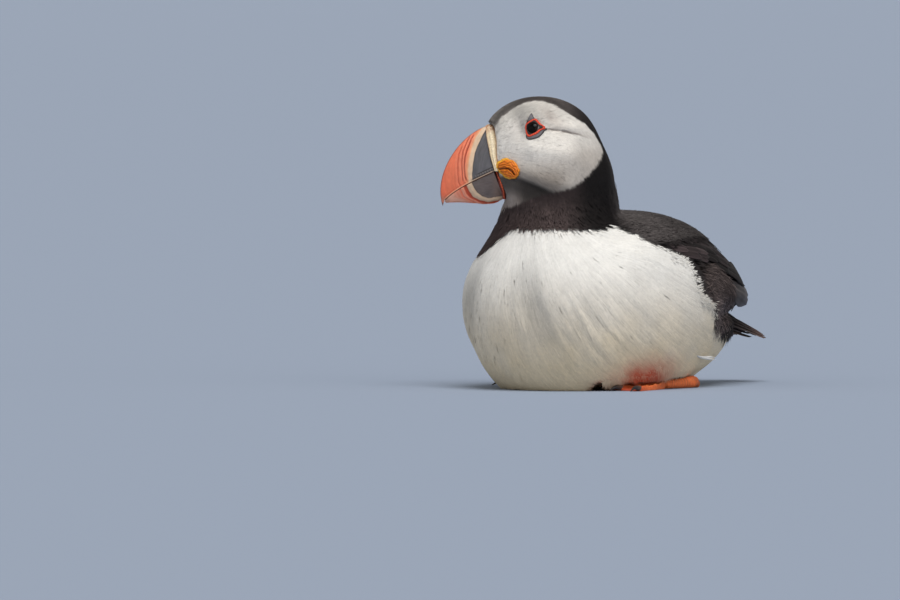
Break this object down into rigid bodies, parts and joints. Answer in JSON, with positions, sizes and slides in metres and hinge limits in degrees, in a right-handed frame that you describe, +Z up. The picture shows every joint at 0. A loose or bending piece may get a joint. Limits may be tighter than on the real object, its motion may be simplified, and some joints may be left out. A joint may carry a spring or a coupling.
{
  "type": "puffin figure",
  "caption": "Still, life-size Atlantic puffin resting on its belly, head raised and turned to its right, with orange bill, red-rimmed eyes, folded wings and webbed feet.",
  "frame": {"origin": "on the floor under the middle of the bird's bounding box", "axes": "+Z up; the bird faces -X, its tail points to +X and its left side is -Y; the head is turned 39 degrees to its right"},
  "size_m": [0.1734, 0.1056, 0.1395],
  "materials": {
    "bill": "smooth horn with low grooves, satin",
    "cere": "pale waxy skin with small pits",
    "claw": "black horn, satin",
    "eye_plate": "slate-grey horn",
    "eye_rim": "red fleshy rim",
    "eye": "dark polished ball",
    "foot": "scaled orange skin, slightly damp",
    "rosette": "wrinkled fleshy disc",
    "plumage_black": "brown-black feathers",
    "plumage_face": "short dense pale grey feathers",
    "plumage_white": "long silky white feathers"
  },
  "bodies": {
    "root": {"bill_lower": "bill", "bill_upper": "bill", "cere": "cere", "claw_inner_left": "claw", "claw_inner_right": "claw", "claw_middle_left": "claw", "claw_middle_right": "claw", "claw_outer_left": "claw", "claw_outer_right": "claw", "eye_left": "eye", "eye_plate_lower_left": "eye_plate", "eye_plate_lower_right": "eye_plate", "eye_plate_upper_left": "eye_plate", "eye_plate_upper_right": "eye_plate", "eye_right": "eye", "eye_rim_left": "eye_rim", "eye_rim_right": "eye_rim", "foot_left": "foot", "foot_right": "foot", "head": "plumage_face", "neck": "plumage_black", "rosette_left": "rosette", "rosette_right": "rosette", "shank_left": "foot", "shank_right": "foot", "tail": "plumage_black", "trunk": "plumage_white", "wing_left": "plumage_black", "wing_right": "plumage_black"}
  },
  "joints": []
}
